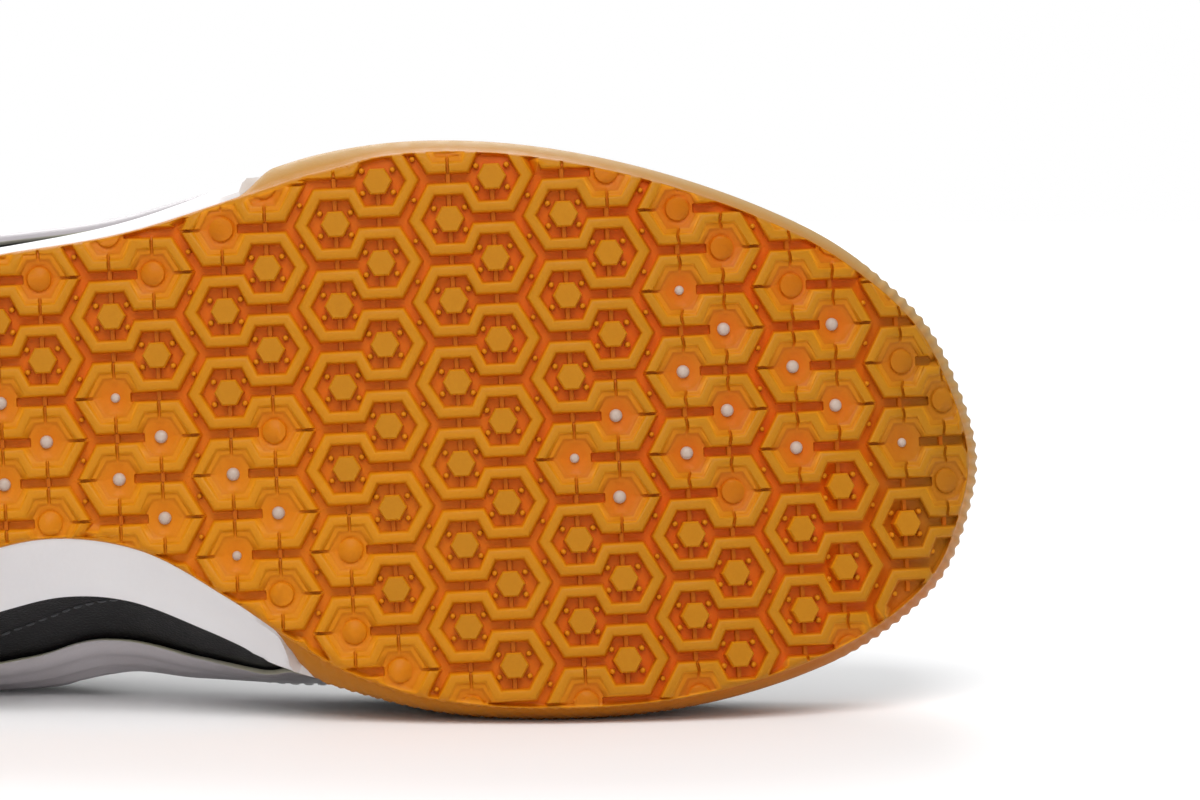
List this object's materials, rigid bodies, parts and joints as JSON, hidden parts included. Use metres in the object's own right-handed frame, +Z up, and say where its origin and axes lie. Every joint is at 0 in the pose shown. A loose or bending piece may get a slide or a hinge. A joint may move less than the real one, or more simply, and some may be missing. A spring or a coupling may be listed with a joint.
{
  "type": "indoor soccer shoe",
  "caption": "Low indoor soccer shoe for the right foot, lying on its inner side: gum cup sole with hexagonal lugs, white foam midsole, black leather upper and flat laces.",
  "frame": {"origin": "centre of the bounding box in X and Y, on the floor that the shoe lies on", "axes": "+X to the toe, +Z up from the floor, the sole faces -Y, and the medial side is down"},
  "size_m": [0.2926, 0.1108, 0.1033],
  "materials": {
    "gum_rubber": "satin",
    "white_foam": "matte",
    "black_leather": "satin",
    "dark_textile": "matte",
    "tongue_leather": "satin",
    "eyestay_leather": "satin",
    "counter_leather": "satin",
    "white_synthetic": "satin",
    "white_lace": "matte"
  },
  "bodies": {
    "root": {"outsole": "gum_rubber", "midsole": "white_foam", "upper": "black_leather", "insole": "dark_textile", "tongue": "tongue_leather", "eyestay": "eyestay_leather", "heel_counter": "counter_leather", "side_band_medial": "white_synthetic", "side_band_lateral": "white_synthetic", "laces": "white_lace"}
  },
  "joints": []
}
